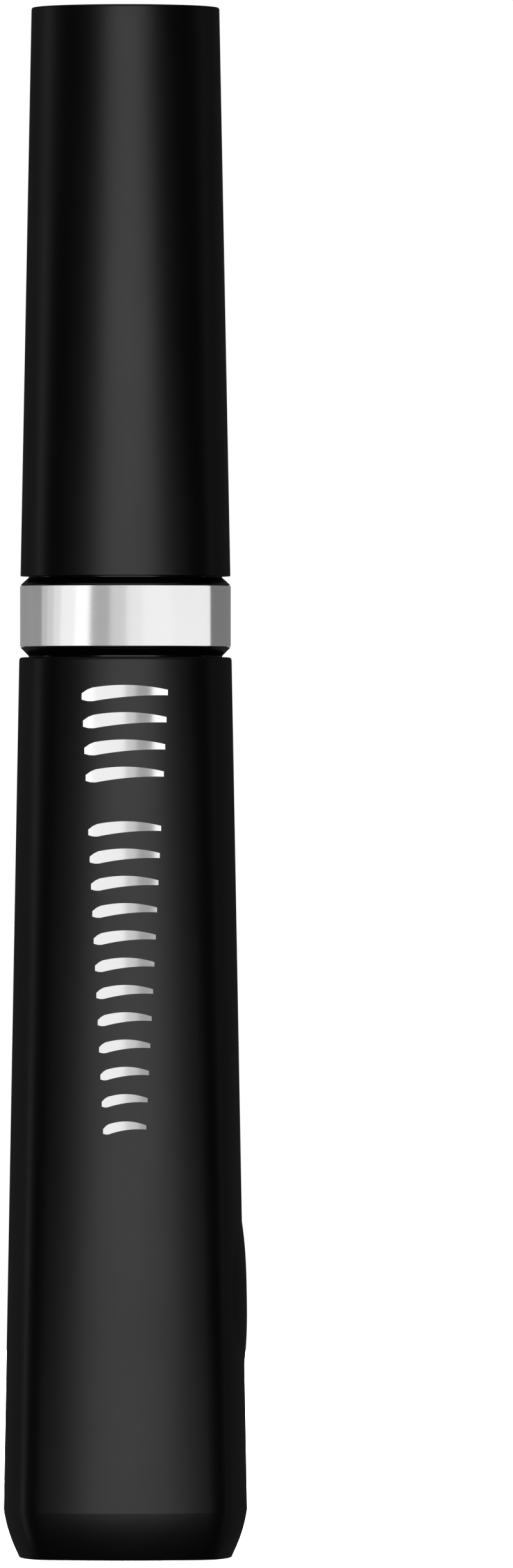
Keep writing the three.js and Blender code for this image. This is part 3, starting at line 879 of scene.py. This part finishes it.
def floor():
    """The white floor. Only the camera sees it, and its own light reaches it."""
    mesh = bpy.data.meshes.new("floor")
    corners = [(x * FLOOR_HALF, y * FLOOR_HALF, 0) for x, y in ((-1, -1), (1, -1), (1, 1), (-1, 1))]
    mesh.from_pydata(corners, [], [(0, 1, 2, 3)])
    obj = bpy.data.objects.new("floor", mesh)
    bpy.context.scene.collection.objects.link(obj)
    mesh.materials.append(stage_material())
    obj.visible_glossy = False
    obj.visible_diffuse = False
    obj.visible_shadow = False
    return obj


def world():
    """White to the camera, and almost dark to everything else."""
    data = bpy.data.worlds.new("studio")
    bpy.context.scene.world = data
    data.use_nodes = True
    nodes, links = data.node_tree.nodes, data.node_tree.links
    nodes.clear()
    path = nodes.new("ShaderNodeLightPath")
    white, dim = nodes.new("ShaderNodeBackground"), nodes.new("ShaderNodeBackground")
    white.inputs["Color"].default_value = (1, 1, 1, 1)
    white.inputs["Strength"].default_value = 1.0
    dim.inputs["Color"].default_value = (1, 1, 1, 1)
    dim.inputs["Strength"].default_value = DIM_WORLD
    mix, out = nodes.new("ShaderNodeMixShader"), nodes.new("ShaderNodeOutputWorld")
    links.new(path.outputs["Is Camera Ray"], mix.inputs["Fac"])
    links.new(dim.outputs["Background"], mix.inputs[1])
    links.new(white.outputs["Background"], mix.inputs[2])
    links.new(mix.outputs["Shader"], out.inputs["Surface"])


def softbox(name, azimuth, elevation, distance, width, height, radiance, target_z=HEIGHT / 2):
    """A rectangular light aimed at the tube. Azimuth is measured from the camera's side, to the right."""
    data = bpy.data.lights.new(name, "AREA")
    data.shape = "RECTANGLE"
    data.size, data.size_y = width, height
    data.energy = radiance * math.pi * width * height
    obj = bpy.data.objects.new(name, data)
    turn, tilt = math.radians(azimuth), math.radians(elevation)
    away = Vector((math.sin(turn) * math.cos(tilt), -math.cos(turn) * math.cos(tilt), math.sin(tilt)))
    obj.location = Vector((0, 0, target_z * MM)) + away * distance
    obj.rotation_euler = away.to_track_quat("Z", "Y").to_euler()
    obj.visible_camera = False
    bpy.context.scene.collection.objects.link(obj)
    return obj


def light_group(name, objects, excluded=False):
    """The pieces that a light reaches or, if excluded, the only ones that it doesn't reach."""
    group = bpy.data.collections.new(name)
    for obj in objects:
        group.objects.link(obj)
    if excluded:
        for entry in group.collection_objects:
            entry.light_linking.link_state = "EXCLUDE"
    return group


# what the band, foil and stem reflect all round: from azimuth, to azimuth, radiance
TENT_REACH, TENT_HIGH = 0.7, 1.1
BAND_TENT = [
    (-180, -140, 0.30), (-140, -100, 0.32), (-100, -85, 0.58), (-85, -70, 0.70), (-70, -55, 0.86),
    (-55, -40, 1.05), (-40, -28, 1.3), (-28, -12, 0.46), (-12, 1, 0.72), (1, 14, 0.96),
    (14, 37, 1.05), (37, 60, 1.0), (60, 83, 1.0), (83, 106, 1.0), (106, 143, 0.20), (143, 180, 0.20),
]
FOIL_TENT = [
    (-70, -24, 1.2), (-24, 0, 0.95), (0, 8, 0.62), (8, 20, 0.34), (20, 70, 1.15), (110, 250, 0.5),
]
STEM_TENT = [
    (-175, -145, 0.08), (-145, -119, 0.27), (-119, -102, 0.19), (-102, -90, 0.08), (-90, -33, 0.026),
    (-33, -26, 0.12), (-26, -19, 0.5), (-19, -12, 1.5), (-12, 30, 2.0), (30, 62, 0.026), (62, 74, 0.07),
    (74, 87, 0.13), (87, 102, 0.24), (102, 118, 0.38), (118, 140, 0.41), (140, 175, 0.18),
]


def tent(name, cards, pieces):
    """Upright cards round the tube that only the given pieces reflect."""
    for number, (start, end, radiance) in enumerate(cards):
        width = 2 * TENT_REACH * math.tan(math.radians(end - start) / 2)
        middle = (start + end) / 2
        card = softbox(f"{name}_{number}", middle, 0, TENT_REACH, width, TENT_HIGH, radiance)
        card.light_linking.receiver_collection = pieces


def lights(band, foil, wand, floor_piece):
    """Softboxes for the black pieces, a light for the floor, and a tent each for band, foil and stem."""
    rest = light_group("without_cards", [band, foil, wand, floor_piece], excluded=True)
    # azimuth, elevation, distance, width, height, radiance
    body = [
        softbox("key", 2.4, 0, 1.2, 1.1, 1.1, 1.78, target_z=185),
        softbox("left_strip", -108, 0, 1.0, 0.3, 1.2, 0.42),
        softbox("left_rear", -145, 0, 1.0, 0.9, 1.2, 0.036),
        softbox("right_strip", 108, 0, 1.0, 0.25, 1.2, 0.15),
        softbox("right_rear", 145, 0, 1.0, 0.9, 1.2, 0.033),
        softbox("back", 180, -22, 1.2, 0.3, 0.5, 1.6),
        softbox("overhead", 0, 90, 1.2, 1.0, 1.0, 0.6),
    ]
    for light in body:
        light.light_linking.receiver_collection = rest
    floor_only = light_group("floor_only", [floor_piece])
    softbox("floor_fill", 0, 90, 1.6, 3.2, 3.2, 11).light_linking.receiver_collection = floor_only
    tent("band_card", BAND_TENT, light_group("band_only", [band]))
    tent("foil_card", FOIL_TENT, light_group("foil_only", [foil]))
    tent("stem_card", STEM_TENT, light_group("stem_only", [wand]))


camera()
vial_shell()
silver_band = metal_band()
foil = foil_ornament()
collar()
inner_bottle()
wiper()
base_plug()
base_label()
cap_shell()
cap_insert()
sealing_washer()
wand = stem()
brush()
ground = floor()
world()
lights(silver_band, foil, wand, ground)

scene = bpy.context.scene
scene.view_settings.view_transform = "Standard"
scene.view_settings.look = "None"
